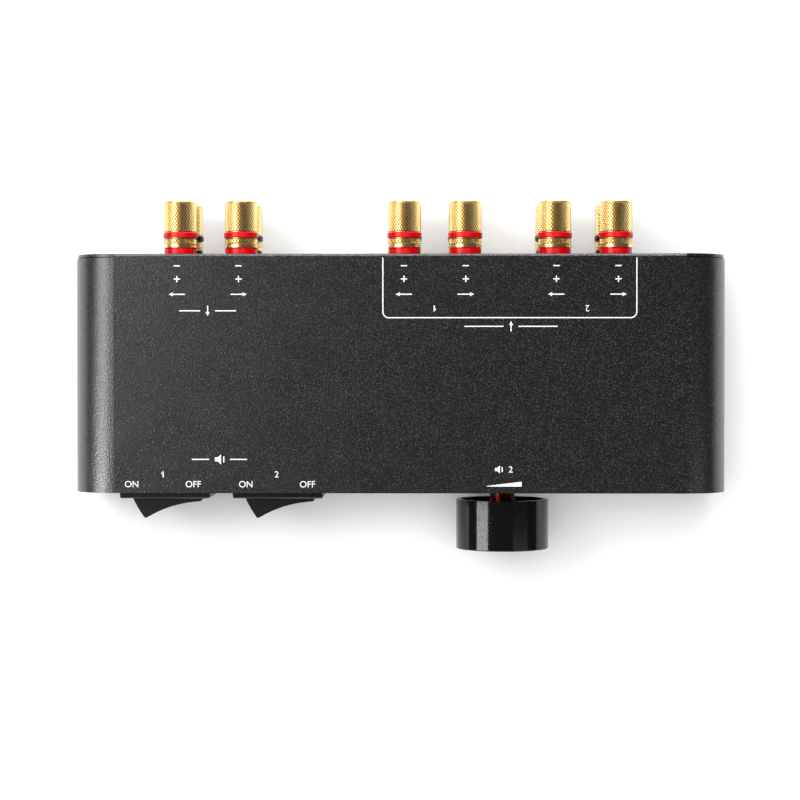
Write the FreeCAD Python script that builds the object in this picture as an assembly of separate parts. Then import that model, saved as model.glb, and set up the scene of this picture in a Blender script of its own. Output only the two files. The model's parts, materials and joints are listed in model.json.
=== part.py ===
"""Speaker selector switch: a sheet-metal case with twelve binding posts on the rear wall,
two rocker switches and a volume control on the front panel, and the wiring between them.

Millimetres. +X is to the right seen from the front, +Y points to the rear and +Z up.
The origin is on the surface that the feet stand on, midway between the knob's front and the caps' ends.
"""
import FreeCAD, Part
import math
import os

V = FreeCAD.Vector
X_AXIS = V(1, 0, 0)
Y_AXIS = V(0, 1, 0)
Z_AXIS = V(0, 0, 1)

# Case
case_width = 220.0
case_depth = 80.0
case_height = 40.0
corner_radius = 14.5
cover_sheet = 1.0
chassis_sheet = 1.2
fold_radius = 1.2
fold_inner_radius = 0.2
corner_seam = 0.3
rear_corner_inset = 0.4
panel_clearance = 0.15

# Feet and screws
foot_height = 4.0
foot_radius = 6.0
foot_base_radius = 5.4
foot_inset_x = 22.0
foot_inset_y = 14.0
foot_recess_radius = 3.4
foot_recess_depth = 2.2
screw_radius = 1.5
screw_head_radius = 2.75
screw_head_height = 1.7
screw_head_rounding = 0.5
screw_length = 6.0
screw_slot_width = 0.8
screw_slot_depth = 0.7
thread_gap = 0.02
clearance_hole_gap = 0.2
tab_length = 12.0
tab_width = 14.0
tab_inset_y = 14.0

# Binding posts
post_pair_names = ("in", "pair1", "pair2")
input_pair_inset = 46.0
last_pair_inset = 47.45
output_pair_spacing = 50.75
post_pitch = 20.6
post_row_spacing = 19.0
collar_radius = 5.45
collar_thickness = 2.4
collar_bevel = 0.4
collar_spigot_radius = 4.0
spigot_gap = 0.1
flange_radius = 5.65
flange_thickness = 1.0
stud_radius = 3.0
stud_tail = 8.0
stud_gap = 0.05
socket_radius = 2.0
socket_depth = 20.0
wire_hole_radius = 1.1
wire_hole_offset = 1.7
cap_radius = 5.55
cap_base_gap = 0.1
cap_band = 2.1
cap_bevel = 0.25
ring_width = 2.0
ring_radius = 5.8
ring_bevel = 0.25
ring_groove_radius = 4.6
ring_gap = 0.05
cap_grip = 9.8
cap_dome = 1.0
dome_shoulder_in = 0.4
dome_shoulder_out = 0.65
dome_crown_in = 1.4
cap_end_wall = 1.8
cap_end_hole_radius = 2.6
cap_thread_relief = 0.4
insulator_radius = 5.8
insulator_thickness = 2.0
lug_radius = 4.8
lug_thickness = 0.5
lug_tab_reach = 8.0
lug_tab_width = 3.0
lug_tab_length = 6.0
post_nut_flats = 9.0
post_nut_thickness = 3.0

# Rocker switches
first_switch_inset = 30.6
switch_spacing = 38.2
bezel_width = 30.4
bezel_height = 25.0
bezel_thickness = 2.3
bezel_corner = 0.8
housing_width = 27.6
housing_height = 22.0
housing_depth = 18.0
housing_floor = 2.0
housing_wall_z = 1.2
snap_reach = 0.9
snap_length = 5.0
snap_height = 6.0
cutout_gap = 0.15
rocker_opening = 12.4
rocker_pivot_depth = 1.9
rocker_tilt = 17.0
rocker_peak_x = 10.05
rocker_peak_out = 8.65
rocker_mid_out = 7.3
rocker_peak_radius = 0.8
rocker_skirt_radius = 12.05
rocker_flank_bulge = 0.25
rocker_underside = 1.0
rocker_side_gap = 0.35
rocker_wall = 1.8
trunnion_radius = 1.6
trunnion_length = 1.3
trunnion_gap = 0.04
plunger_boss_radius = 2.6
plunger_boss_depth = 4.6
plunger_radius = 1.6
plunger_gap = 0.05
plunger_tip = 8.9
plunger_length = 6.2
spring_wire_radius = 0.2
spring_coils = 5
pole_spacing = 10.0
blade_length = 15.0
blade_width = 4.0
blade_thickness = 0.8
blade_pivot = 9.8
blade_tilt = 8.5
contact_offset = 6.3
contact_radius = 1.4
contact_thickness = 0.5
contact_gap = 0.3
fulcrum_gap = 0.12
terminal_thickness = 0.8
terminal_width = 6.3
terminal_length = 8.0
terminal_slot_gap = 0.03
terminal_root = 1.0

# Volume control
volume_inset = 75.1
knob_radius = 15.8
knob_length = 16.9
knob_gap = 3.0
knob_edge = 0.3
knob_rim = 1.3
knob_dish = 4.0
knob_bore_depth = 9.0
pointer_width = 1.2
pointer_length = 8.0
pointer_depth = 0.4
bushing_radius = 4.45
bushing_reach = 6.0
bushing_thread_pitch = 0.75
bushing_thread_depth = 0.4
bushing_bore_gap = 0.04
bushing_flange_radius = 8.0
bushing_flange = 1.2
panel_hole_gap = 0.4
shaft_radius = 3.0
bracket_setback = 6.5
bracket_sheet = 1.5
bracket_width = 34.0
bracket_foot = 12.0
bracket_screw_margin = 1.0
volume_nut_flats = 11.0
volume_nut_thickness = 2.0
lock_washer_radius = 6.0
lock_washer_thickness = 0.6
lock_washer_teeth = 12
lock_washer_notch = 0.45
can_radius = 14.0
can_wall = 0.7
can_length = 24.0
gang_spacing = 10.5
first_gang = 4.0
wafer_thickness = 1.5
wafer_gap = 0.1
wafer_hole_gap = 0.4
track_outer_radius = 12.0
track_inner_radius = 9.0
track_thickness = 1.2
track_opening = 60.0
wiper_hub_radius = 4.6
wiper_thickness = 1.4
wiper_gap = 0.3
wiper_width = 3.0
volume_tab_spacing = 8.0
volume_tab_width = 2.4
volume_tab_thickness = 0.8
volume_tab_reach = 4.0
set_screw_radius = 1.5
set_screw_length = 6.0
set_screw_back = 7.6
set_screw_socket = 0.85
set_screw_socket_depth = 2.0

# Wires
wire_radius = 0.9
wire_bend_share = 0.45
wire_step = 1.0
jumper_rise = 4.5
jumper_setback = 3.5

# How far a cutting tool runs past a face, how far joined blanks overlap, and how near is the same place
past = 1.0
weld = 0.1
near = 0.01

# Places worked out from the sizes above
post_reach = (collar_thickness + flange_thickness + cap_base_gap + cap_band
              + ring_width + cap_grip + cap_dome)
knob_reach = knob_gap + knob_length
case_shift = (knob_reach - post_reach) / 2
front_y = case_shift - case_depth / 2
rear_y = case_shift + case_depth / 2
side_x = case_width / 2
switch_centres = (first_switch_inset - side_x, first_switch_inset + switch_spacing - side_x)
volume_x = side_x - volume_inset
last_pair_x = side_x - last_pair_inset
post_pair_centres = (input_pair_inset - side_x, last_pair_x - output_pair_spacing, last_pair_x)
bottom_z = foot_height
top_z = foot_height + case_height
mid_z = foot_height + case_height / 2
rear_inner_y = rear_y - cover_sheet
front_inner_y = front_y + chassis_sheet
floor_z = bottom_z + chassis_sheet
upper_row_z = mid_z + post_row_spacing / 2
lower_row_z = mid_z - post_row_spacing / 2
pivot_y = front_y + rocker_pivot_depth
bracket_y = front_inner_y + bracket_setback
pole_heights = (mid_z + pole_spacing / 2, mid_z - pole_spacing / 2)


def block(x0, x1, y0, y1, z0, z1):
    """A box between two corners."""
    return Part.makeBox(x1 - x0, y1 - y0, z1 - z0, V(x0, y0, z0))


def rod(start, axis, radius, length):
    """A round bar from a point along an axis."""
    return Part.makeCylinder(radius, length, start, axis)


def face_of(points):
    """A flat face inside straight edges."""
    return Part.Face(Part.makePolygon(points + [points[0]]))


def turned(profile, x, z):
    """A body turned about an axis along Y, from its (radius, y) outline."""
    outline = face_of([V(radius, y, 0) for radius, y in profile])
    return outline.revolve(V(0, 0, 0), Y_AXIS, 360).translate(V(x, 0, z))


def fused(pieces):
    """One solid from pieces that meet."""
    whole = pieces[0]
    for piece in pieces[1:]:
        whole = whole.fuse(piece)
    return whole.removeSplitter()


def cut_all(body, tools):
    """A body less every tool."""
    for tool in tools:
        body = body.cut(tool)
    return body


def hexagon(x, y, z, flats, thickness, hole_radius):
    """A hexagon nut with its axis along Y, starting at y."""
    corner = flats / math.sqrt(3)
    angles = [math.radians(60 * i) for i in range(6)]
    points = [V(x + corner * math.cos(a), y, z + corner * math.sin(a)) for a in angles]
    nut = face_of(points).extrude(V(0, thickness, 0))
    return nut.cut(rod(V(x, y, z), Y_AXIS, hole_radius, thickness))


def arch_outline(half_width, height_top, height_bottom, radius, y):
    """The case's cross-section: square at the bottom and rounded at both top corners."""
    diagonal = radius * math.sqrt(0.5)
    left, right = -half_width, half_width
    shoulder = height_top - radius
    edges = [
        Part.LineSegment(V(left, y, height_bottom), V(left, y, shoulder)).toShape(),
        Part.Arc(V(left, y, shoulder), V(left + radius - diagonal, y, shoulder + diagonal),
                 V(left + radius, y, height_top)).toShape(),
        Part.LineSegment(V(left + radius, y, height_top), V(right - radius, y, height_top)).toShape(),
        Part.Arc(V(right - radius, y, height_top), V(right - radius + diagonal, y, shoulder + diagonal),
                 V(right, y, shoulder)).toShape(),
        Part.LineSegment(V(right, y, shoulder), V(right, y, height_bottom)).toShape(),
        Part.LineSegment(V(right, y, height_bottom), V(left, y, height_bottom)).toShape(),
    ]
    return Part.Face(Part.Wire(edges))


def screw_pattern():
    """Where the four case screws stand, in X and Y."""
    x = side_x - cover_sheet - tab_length / 2
    y = case_depth / 2 - tab_inset_y
    return [(sx * x, case_shift + sy * y) for sx in (-1, 1) for sy in (-1, 1)]


def foot_pattern():
    """Where the four feet stand, in X and Y."""
    x = side_x - foot_inset_x
    y = case_depth / 2 - foot_inset_y
    return [(sx * x, case_shift + sy * y) for sx in (-1, 1) for sy in (-1, 1)]


def bracket_screw_pattern():
    """Where the two screws of the control bracket stand, in X and Y."""
    y = bracket_y + bracket_sheet + bracket_foot / 2
    spread = bracket_width / 2 - screw_head_radius - bracket_screw_margin
    return [(volume_x - spread, y), (volume_x + spread, y)]


def post_columns():
    """Each column of binding posts: its name and its place in X."""
    columns = []
    for name, centre in zip(post_pair_names, post_pair_centres):
        columns.append((name + "_right", centre - post_pitch / 2))
        columns.append((name + "_left", centre + post_pitch / 2))
    return columns


def post_places(row_z):
    """The axes of one row of binding posts, in X and Z."""
    return [(x, row_z) for name, x in post_columns()]


def all_posts():
    """The axes of all binding posts."""
    return post_places(upper_row_z) + post_places(lower_row_z)


def cover_shell():
    """Top, rolled sides and rear wall, folded from one sheet, with tabs for the case screws."""
    roll_length = case_depth - cover_sheet - corner_seam
    outer = arch_outline(side_x, top_z, bottom_z, corner_radius, front_y).extrude(V(0, roll_length, 0))
    inner = arch_outline(side_x - cover_sheet, top_z - cover_sheet, bottom_z - past,
                         corner_radius - cover_sheet, front_y - past)
    inner = inner.extrude(V(0, case_depth + 2 * past, 0))
    roll = outer.cut(inner)
    wall = arch_outline(side_x - rear_corner_inset, top_z - rear_corner_inset, bottom_z,
                        corner_radius - rear_corner_inset, rear_inner_y).extrude(V(0, cover_sheet, 0))
    flat_half = side_x - corner_radius
    strip = block(-flat_half, flat_half, front_y + roll_length - past, rear_y, top_z - cover_sheet, top_z)
    fillet = block(-flat_half, flat_half, rear_inner_y - fold_inner_radius, rear_inner_y,
                   top_z - cover_sheet - fold_inner_radius, top_z - cover_sheet)
    fillet = fillet.cut(rod(V(-flat_half, rear_inner_y - fold_inner_radius,
                              top_z - cover_sheet - fold_inner_radius),
                            X_AXIS, fold_inner_radius, 2 * flat_half))
    shell = fused([roll, wall, strip, fillet])
    corner = block(-flat_half, flat_half, rear_y - fold_radius, rear_y + past,
                   top_z - fold_radius, top_z + past)
    bend = rod(V(-flat_half, rear_y - fold_radius, top_z - fold_radius), X_AXIS, fold_radius, 2 * flat_half)
    shell = shell.cut(corner.cut(bend))
    tabs = []
    for x, y in screw_pattern():
        tab = block(x - tab_length / 2, x + tab_length / 2, y - tab_width / 2, y + tab_width / 2,
                    floor_z, floor_z + cover_sheet)
        tabs.append(tab.cut(rod(V(x, y, floor_z - past), Z_AXIS, screw_radius + thread_gap,
                                cover_sheet + 2 * past)))
    shell = fused([shell] + tabs)
    holes = [rod(V(x, rear_inner_y - past, z), Y_AXIS, collar_spigot_radius + spigot_gap,
                 cover_sheet + 2 * past) for x, z in all_posts()]
    return cut_all(shell, holes)


def chassis():
    """Bottom plate with the front panel folded up from it, inside the cover's edges."""
    half = side_x - cover_sheet - panel_clearance
    bottom = block(-half, half, front_y, rear_inner_y - panel_clearance, bottom_z, floor_z)
    panel = arch_outline(half, top_z - cover_sheet - panel_clearance, bottom_z,
                         corner_radius - cover_sheet - panel_clearance, front_y)
    panel = panel.extrude(V(0, chassis_sheet, 0))
    sheet = fused([bottom, panel])
    edge = block(-half, half, front_y - past, front_y + fold_radius,
                 bottom_z - past, bottom_z + fold_radius)
    bend = rod(V(-half, front_y + fold_radius, bottom_z + fold_radius), X_AXIS, fold_radius, 2 * half)
    holes = [edge.cut(bend)]
    clear = screw_radius + clearance_hole_gap
    for x, y in screw_pattern() + bracket_screw_pattern():
        holes.append(rod(V(x, y, bottom_z - past), Z_AXIS, clear, chassis_sheet + 2 * past))
    for x, y in foot_pattern():
        holes.append(rod(V(x, y, bottom_z - past), Z_AXIS, screw_radius + thread_gap,
                         chassis_sheet + 2 * past))
    for x in switch_centres:
        w = housing_width / 2 + cutout_gap
        h = housing_height / 2 + cutout_gap
        holes.append(block(x - w, x + w, front_y - past, front_inner_y + past, mid_z - h, mid_z + h))
    holes.append(rod(V(volume_x, front_y - past, mid_z), Y_AXIS, bushing_radius + panel_hole_gap,
                     chassis_sheet + 2 * past))
    return cut_all(sheet, holes)


def rubber_foot(x, y):
    """A moulded foot with a recess for its screw."""
    body = Part.makeCone(foot_base_radius, foot_radius, foot_height, V(x, y, 0), Z_AXIS)
    recess = rod(V(x, y, -past), Z_AXIS, foot_recess_radius, foot_recess_depth + past)
    hole = rod(V(x, y, 0), Z_AXIS, screw_radius + clearance_hole_gap, foot_height)
    return body.cut(recess).cut(hole)


def pan_screw(x, y, seat_z):
    """A slotted pan-head screw that points up, with its head under seat_z."""
    low = seat_z - screw_head_height
    head = rod(V(x, y, low), Z_AXIS, screw_head_radius, screw_head_height)
    rim = [e for e in head.Edges if e.BoundBox.ZMax < low + screw_head_height / 2]
    head = head.makeFillet(screw_head_rounding, rim)
    slot = block(x - screw_head_radius, x + screw_head_radius, y - screw_slot_width / 2,
                 y + screw_slot_width / 2, low, low + screw_slot_depth)
    shank = rod(V(x, y, seat_z), Z_AXIS, screw_radius, screw_length)
    return fused([head.cut(slot), shank])


def case_screws():
    """Case, bracket and foot screws, all alike."""
    screws = [pan_screw(x, y, bottom_z) for x, y in screw_pattern() + bracket_screw_pattern()]
    screws += [pan_screw(x, y, foot_recess_depth) for x, y in foot_pattern()]
    return screws


def post_stud(x, z):
    """A hollow threaded stud with its flange, a 4 mm socket and a cross hole for bare wire."""
    base = rear_y + collar_thickness
    flange = base + flange_thickness
    tip = rear_y + post_reach - cap_end_wall - cap_thread_relief
    tail = rear_y - stud_tail
    outline = [
        (0, tail), (stud_radius, tail), (stud_radius, base), (flange_radius, base),
        (flange_radius, flange), (stud_radius, flange), (stud_radius, tip),
        (socket_radius, tip), (socket_radius, tip - socket_depth), (0, tip - socket_depth - socket_radius),
    ]
    stud = turned(outline, x, z)
    hole_y = flange + wire_hole_offset
    return stud.cut(rod(V(x - flange_radius, hole_y, z), X_AXIS, wire_hole_radius, 2 * flange_radius))


def post_collar(x, z):
    """The coloured insulating collar, whose spigot fills the hole in the rear wall."""
    bore = stud_radius + stud_gap
    face = rear_y + collar_thickness
    outline = [
        (bore, rear_inner_y), (collar_spigot_radius, rear_inner_y), (collar_spigot_radius, rear_y),
        (collar_radius, rear_y), (collar_radius, face - collar_bevel), (collar_radius - collar_bevel, face),
        (bore, face),
    ]
    return turned(outline, x, z)


def cap_start():
    """Where the screw caps begin, just off the stud's flange."""
    return rear_y + collar_thickness + flange_thickness + cap_base_gap


def post_cap(x, z):
    """A screw cap: base band, groove for the coloured ring, long grip and domed end with a plug hole."""
    start = cap_start()
    groove = start + cap_band
    grip = groove + ring_width
    dome = grip + cap_grip
    end = dome + cap_dome
    bore = stud_radius + stud_gap
    outline = [
        (bore, start), (cap_radius - cap_bevel, start), (cap_radius, start + cap_bevel), (cap_radius, groove),
        (ring_groove_radius, groove), (ring_groove_radius, grip), (cap_radius, grip), (cap_radius, dome),
        (cap_radius - dome_shoulder_in, dome + dome_shoulder_out), (cap_radius - dome_crown_in, end),
        (cap_end_hole_radius, end),
        (cap_end_hole_radius, end - cap_end_wall), (bore, end - cap_end_wall),
    ]
    return turned(outline, x, z)


def post_ring(x, z):
    """The coloured ring in a cap's groove."""
    start = cap_start() + cap_band + ring_gap
    end = start + ring_width - 2 * ring_gap
    inner = ring_groove_radius + ring_gap
    rim = ring_radius - ring_bevel
    outline = [
        (inner, start), (rim, start), (ring_radius, start + ring_bevel),
        (ring_radius, end - ring_bevel), (rim, end), (inner, end),
    ]
    return turned(outline, x, z)


def post_insulator(x, z):
    """The inner insulating washer of a post."""
    start = rear_inner_y - insulator_thickness
    outline = [
        (stud_radius + stud_gap, start), (insulator_radius, start),
        (insulator_radius, rear_inner_y), (stud_radius + stud_gap, rear_inner_y),
    ]
    return turned(outline, x, z)


def solder_lug(x, z):
    """A ring lug under a post's nut, with a tab bent inwards for the wire."""
    back = rear_inner_y - insulator_thickness
    face = back - lug_thickness
    ring = rod(V(x, face, z), Y_AXIS, lug_radius, lug_thickness)
    half = lug_tab_width / 2
    arm = block(x, x + lug_tab_reach, face, back, z - half, z + half)
    tab = block(x + lug_tab_reach - lug_thickness, x + lug_tab_reach, back - lug_tab_length, back,
                z - half, z + half)
    lug = fused([ring, arm, tab])
    return lug.cut(rod(V(x, face - past, z), Y_AXIS, stud_radius + stud_gap, lug_thickness + 2 * past))


def lug_tip(x, z):
    """Where a wire meets the end of a lug's tab."""
    return V(x + lug_tab_reach - lug_thickness / 2, rear_inner_y - insulator_thickness - lug_tab_length, z)


def post_nut(x, z):
    """The nut that holds a post."""
    face = rear_inner_y - insulator_thickness - lug_thickness
    return hexagon(x, face - post_nut_thickness, z, post_nut_flats, post_nut_thickness,
                   stud_radius + thread_gap)


def switch_housing(x):
    """A rocker switch's housing: the frame in front of the panel and the box behind it."""
    bezel = block(x - bezel_width / 2, x + bezel_width / 2, front_y - bezel_thickness, front_y,
                  mid_z - bezel_height / 2, mid_z + bezel_height / 2)
    front_edges = [e for e in bezel.Edges if e.BoundBox.YMax < front_y - bezel_thickness / 2]
    bezel = bezel.makeFillet(bezel_corner, front_edges)
    body = block(x - housing_width / 2, x + housing_width / 2, front_y - bezel_thickness / 2,
                 front_y + housing_depth, mid_z - housing_height / 2, mid_z + housing_height / 2)
    cavity_half_z = housing_height / 2 - housing_wall_z
    cavity = block(x - rocker_opening, x + rocker_opening, front_y - bezel_thickness - past,
                   front_y + housing_depth - housing_floor, mid_z - cavity_half_z, mid_z + cavity_half_z)
    snaps = []
    for side in (-1, 1):
        root_x = x + side * housing_width / 2
        tip_x = root_x + side * snap_reach
        ramp = face_of([V(root_x, front_inner_y, mid_z - snap_height / 2),
                        V(tip_x, front_inner_y, mid_z - snap_height / 2),
                        V(root_x, front_inner_y + snap_length, mid_z - snap_height / 2)])
        snaps.append(ramp.extrude(V(0, 0, snap_height)))
    housing = fused([bezel, body] + snaps).cut(cavity)
    holes = [rod(V(x, pivot_y, mid_z - housing_height), Z_AXIS, trunnion_radius + trunnion_gap,
                 2 * housing_height)]
    for z in pole_heights:
        for terminal_x in (x, x + contact_offset):
            holes.append(terminal_blank(terminal_x, z, terminal_slot_gap))
    return cut_all(housing, holes)


def terminal_blank(x, z, gap):
    """The flat of a terminal that passes through the housing's floor."""
    t = terminal_thickness / 2 + gap
    w = terminal_width / 2 + gap
    floor_end = front_y + housing_depth
    return block(x - t, x + t, floor_end - housing_floor - terminal_root, floor_end + terminal_length,
                 z - w, z + w)


def rocker_outline():
    """The rocker's side profile about its pivot, +Y into the housing, before it is tilted."""
    peak, out, mid = rocker_peak_x, -rocker_peak_out, -rocker_mid_out
    skirt = rocker_skirt_radius
    low_x = math.sqrt(skirt ** 2 - rocker_underside ** 2)
    flank_x = (peak + skirt) / 2 + rocker_flank_bulge
    edges = [
        Part.Arc(V(-peak, out, 0), V(0, mid, 0), V(peak, out, 0)).toShape(),
        Part.Arc(V(peak, out, 0), V(flank_x, out / 2, 0), V(skirt, 0, 0)).toShape(),
        Part.Arc(V(skirt, 0, 0), V(skirt * math.cos(rocker_underside / skirt / 2),
                                   skirt * math.sin(rocker_underside / skirt / 2), 0),
                 V(low_x, rocker_underside, 0)).toShape(),
        Part.LineSegment(V(low_x, rocker_underside, 0), V(-low_x, rocker_underside, 0)).toShape(),
        Part.Arc(V(-low_x, rocker_underside, 0), V(-skirt * math.cos(rocker_underside / skirt / 2),
                                                   skirt * math.sin(rocker_underside / skirt / 2), 0),
                 V(-skirt, 0, 0)).toShape(),
        Part.Arc(V(-skirt, 0, 0), V(-flank_x, out / 2, 0), V(-peak, out, 0)).toShape(),
    ]
    return Part.Face(Part.Wire(edges))


def tilted(shape, x, depth, degrees):
    """Turn a piece about the upright axis at a depth behind the pivot, then put it in its switch."""
    shape.rotate(V(0, depth, 0), Z_AXIS, degrees)
    return shape.translate(V(x, pivot_y, mid_z))


def rocker(x):
    """A rocker in its off position: hollow underneath, with trunnions and two plunger bosses."""
    half = housing_height / 2 - housing_wall_z - rocker_side_gap
    body = rocker_outline().extrude(V(0, 0, 2 * half)).translate(V(0, 0, -half))
    ridges = [e for e in body.Edges if abs(abs(e.CenterOfMass.x) - rocker_peak_x) < near
              and abs(e.CenterOfMass.y + rocker_peak_out) < near]
    body = body.makeFillet(rocker_peak_radius, ridges)
    hollow_x = rocker_peak_x - 2 * rocker_wall
    hollow = block(-hollow_x, hollow_x, rocker_wall - rocker_mid_out, rocker_underside + past,
                   rocker_wall - half, half - rocker_wall)
    body = body.cut(hollow)
    bosses = []
    bores = []
    for z in (-pole_spacing / 2, pole_spacing / 2):
        top = rocker_wall - rocker_mid_out
        bosses.append(rod(V(0, top - rocker_wall / 2, z), Y_AXIS, plunger_boss_radius,
                          plunger_boss_depth - top + rocker_wall / 2))
        bores.append(rod(V(0, top, z), Y_AXIS, plunger_radius + plunger_gap, plunger_boss_depth - top + past))
    axle_half = half + trunnion_length
    trunnions = []
    for side in (-1, 1):
        inner = side * (half - rocker_wall)
        trunnions.append(rod(V(0, 0, inner), V(0, 0, side), trunnion_radius, axle_half - abs(inner)))
    body = cut_all(fused([body] + bosses + trunnions), bores)
    return tilted(body, x, 0, rocker_tilt)


def plunger(x, z):
    """A plunger in its boss, with a round tip that slides on the blade."""
    body = rod(V(0, plunger_tip - plunger_length, z), Y_AXIS, plunger_radius,
               plunger_length - plunger_radius)
    tip = Part.makeSphere(plunger_radius, V(0, plunger_tip - plunger_radius, z))
    return tilted(fused([body, tip]), x, 0, rocker_tilt)


def tangent_arc(start, corner, end):
    """An arc that leaves start towards the corner and reaches end from it."""
    middle = (start + end) * 0.5
    cosine = (end - start).Length / 2 / (corner - start).Length
    crown = middle + (corner - middle) * (cosine / (1 + cosine))
    return Part.Arc(start, crown, end).toShape()


def tube(edges, radius):
    """A round tube along edges that meet in tangents."""
    path = Part.Wire(edges)
    first = edges[0]
    start = first.valueAt(first.FirstParameter)
    heading = first.tangentAt(first.FirstParameter)
    section = Part.Wire([Part.Edge(Part.Circle(start, heading, radius))])
    return path.makePipeShell([section], True, False)


def coil(radius, start, end, turns):
    """The edges of a helix about the Y axis: two tangent arcs for each quarter turn."""
    steps = 4 * turns
    rise = (end - start) / steps
    turn = math.pi / 2
    edges = []
    for i in range(steps):
        ends = []
        for j in (i, i + 1):
            a = j * turn
            point = V(radius * math.cos(a), start + j * rise, radius * math.sin(a))
            heading = V(-radius * turn * math.sin(a), rise, radius * turn * math.cos(a)).normalize()
            ends.append((point, heading))
        (p0, t0), (p1, t1) = ends
        chord = p1 - p0
        bend = 2 * (1 - t0.dot(t1))
        along = chord.dot(t0 + t1)
        reach = (math.sqrt(along ** 2 + bend * chord.dot(chord)) - along) / bend
        corner0 = p0 + t0 * reach
        corner1 = p1 - t1 * reach
        joint = (corner0 + corner1) * 0.5
        edges.append(tangent_arc(p0, corner0, joint))
        edges.append(tangent_arc(joint, corner1, p1))
    return edges


def plunger_spring(x, z):
    """The coil spring behind a plunger."""
    start = rocker_wall - rocker_mid_out + spring_wire_radius
    end = plunger_tip - plunger_length - spring_wire_radius
    radius = plunger_radius - spring_wire_radius - plunger_gap
    spring = tube(coil(radius, start, end, spring_coils), spring_wire_radius)
    spring.translate(V(0, 0, z))
    return tilted(spring, x, 0, rocker_tilt)


def contact_blade(x, z):
    """A see-saw blade with its contact point, tilted away from the switched contact."""
    half = blade_length / 2
    strip = block(-half, half, blade_pivot - blade_thickness, blade_pivot,
                  z - blade_width / 2, z + blade_width / 2)
    point = rod(V(contact_offset, blade_pivot - weld, z), Y_AXIS, contact_radius, contact_thickness + weld)
    return tilted(fused([strip, point]), x, blade_pivot, -blade_tilt)


def common_terminal(x, z):
    """A flat terminal whose inner end is the fulcrum of the blade."""
    blank = terminal_blank(x, mid_z + z, 0)
    t = terminal_thickness / 2
    top = pivot_y + blade_pivot + fulcrum_gap
    post = block(x - t, x + t, top, front_y + housing_depth - housing_floor,
                 mid_z + z - blade_width / 2, mid_z + z + blade_width / 2)
    return fused([blank, post])


def switched_terminal(x, z):
    """A flat terminal whose inner end carries the switched contact, bent square under the blade."""
    place = x + contact_offset
    blank = terminal_blank(place, mid_z + z, 0)
    t = terminal_thickness / 2
    drop = contact_offset * math.tan(math.radians(blade_tilt))
    contact_top = pivot_y + blade_pivot + drop + contact_thickness + contact_gap
    shelf_top = contact_top + contact_thickness
    w = blade_width / 2
    shelf = block(place - t, place + contact_radius + t, shelf_top, shelf_top + terminal_thickness,
                  mid_z + z - w, mid_z + z + w)
    post = block(place - t, place + t, shelf_top, front_y + housing_depth - housing_floor,
                 mid_z + z - w, mid_z + z + w)
    point = rod(V(place, contact_top, mid_z + z), Y_AXIS, contact_radius, contact_thickness)
    return fused([blank, post, shelf, point])


def volume_bushing():
    """The threaded bushing with its flange, turned from brass."""
    bore = shaft_radius + bushing_bore_gap
    nose = front_y - bushing_reach
    back = bracket_y + bracket_sheet
    root = bushing_radius - bushing_thread_depth
    outline = [(bore, nose), (root, nose)]
    y = nose
    while y + bushing_thread_pitch < back:
        outline.append((bushing_radius, y + bushing_thread_pitch / 2))
        outline.append((root, y + bushing_thread_pitch))
        y += bushing_thread_pitch
    outline += [
        (root, back), (bushing_flange_radius, back),
        (bushing_flange_radius, back + bushing_flange), (bore, back + bushing_flange),
    ]
    return turned(outline, volume_x, mid_z)


def control_bracket():
    """The angle that carries the volume control behind the front panel."""
    half = bracket_width / 2
    upright = block(volume_x - half, volume_x + half, bracket_y, bracket_y + bracket_sheet,
                    floor_z, mid_z + can_radius)
    foot = block(volume_x - half, volume_x + half, bracket_y, bracket_y + bracket_sheet + bracket_foot,
                 floor_z, floor_z + bracket_sheet)
    angle = fused([upright, foot])
    holes = [rod(V(volume_x, bracket_y - past, mid_z), Y_AXIS, bushing_radius + spigot_gap,
                 bracket_sheet + 2 * past)]
    for x, y in bracket_screw_pattern():
        holes.append(rod(V(x, y, floor_z - past), Z_AXIS, screw_radius + thread_gap,
                         bracket_sheet + 2 * past))
    return cut_all(angle, holes)


def volume_nut():
    """The nut that clamps the bushing to its bracket."""
    start = bracket_y - lock_washer_thickness - volume_nut_thickness
    return hexagon(volume_x, start, mid_z, volume_nut_flats, volume_nut_thickness,
                   bushing_radius + thread_gap)


def volume_lock_washer():
    """The toothed washer under the nut."""
    start = bracket_y - lock_washer_thickness
    washer = rod(V(volume_x, start, mid_z), Y_AXIS, lock_washer_radius, lock_washer_thickness)
    depth = lock_washer_thickness + 2 * past
    tools = [rod(V(volume_x, start - past, mid_z), Y_AXIS, bushing_radius + thread_gap, depth)]
    for i in range(lock_washer_teeth):
        angle = 2 * math.pi * i / lock_washer_teeth
        x = volume_x + lock_washer_radius * math.cos(angle)
        z = mid_z + lock_washer_radius * math.sin(angle)
        tools.append(rod(V(x, start - past, z), Y_AXIS, lock_washer_notch, depth))
    return cut_all(washer, tools)


def gang_faces():
    """Where each gang's wafer starts in Y."""
    back = bracket_y + bracket_sheet + bushing_flange
    return [back + first_gang, back + first_gang + gang_spacing]


def volume_can():
    """The can round both gangs, slotted for the terminals."""
    start = bracket_y + bracket_sheet
    can = rod(V(volume_x, start, mid_z), Y_AXIS, can_radius, can_length)
    inside = rod(V(volume_x, start + can_wall, mid_z), Y_AXIS, can_radius - can_wall,
                 can_length - 2 * can_wall)
    seat = rod(V(volume_x, start - past, mid_z), Y_AXIS, bushing_flange_radius + thread_gap,
               can_wall + 2 * past)
    slots = []
    for y in gang_faces():
        slots.append(block(volume_x - can_radius - past, volume_x - can_radius / 2,
                           y - wafer_gap, y + wafer_thickness + wafer_gap,
                           mid_z - volume_tab_spacing - volume_tab_width / 2 - wafer_gap,
                           mid_z + volume_tab_spacing + volume_tab_width / 2 + wafer_gap))
    return cut_all(can, [inside, seat] + slots)


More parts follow.
